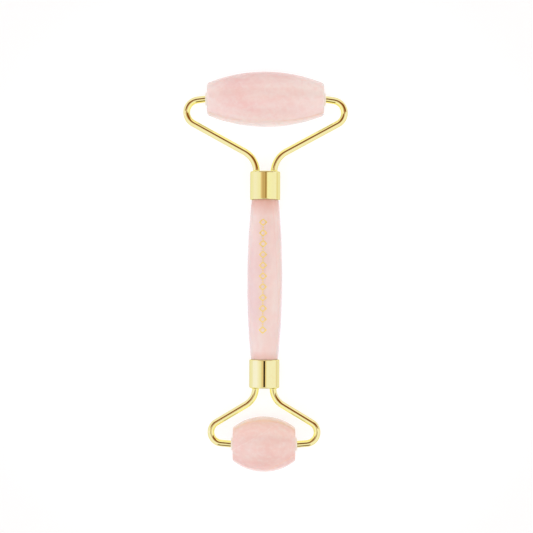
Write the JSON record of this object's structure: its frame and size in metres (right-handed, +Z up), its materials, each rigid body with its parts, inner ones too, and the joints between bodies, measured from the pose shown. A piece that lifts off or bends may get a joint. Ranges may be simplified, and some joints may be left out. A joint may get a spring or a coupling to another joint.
{
  "type": "face roller",
  "caption": "Facial massage roller with a slim stone handle and a turned barrel stone in a wire fork at each end, the head end wide and the tail end short.",
  "frame": {"origin": "under the middle of the tool's length and width, on the surface it lies on", "axes": "+X along the roller axles, +Y along the handle towards the large roller, +Z up"},
  "size_m": [0.0598, 0.145, 0.02],
  "materials": {
    "rose_quartz": "polished, slightly translucent",
    "polished_gold": "mirror-polished gold plating",
    "white_plastic": "moulded, semi-gloss",
    "clear_epoxy": "cured resin"
  },
  "bodies": {
    "frame": {"handle_stone": "rose_quartz", "large_end_ferrule": "polished_gold", "large_end_epoxy": "clear_epoxy", "large_fork": "polished_gold", "small_end_ferrule": "polished_gold", "small_end_epoxy": "clear_epoxy", "small_fork": "polished_gold"},
    "large_roller": {"large_roller_stone": "rose_quartz", "large_left_bushing": "white_plastic", "large_right_bushing": "white_plastic"},
    "small_roller": {"small_roller_stone": "rose_quartz", "small_left_bushing": "white_plastic", "small_right_bushing": "white_plastic"}
  },
  "joints": [
    {"name": "large_roller_spin", "type": "hinge", "parent": "frame", "child": "large_roller", "pos_m": [0, 0.06248, 0.01], "axis": [1, 0, 0], "continuous": true},
    {"name": "small_roller_spin", "type": "hinge", "parent": "frame", "child": "small_roller", "pos_m": [0, -0.06248, 0.01], "axis": [1, 0, 0], "continuous": true}
  ]
}
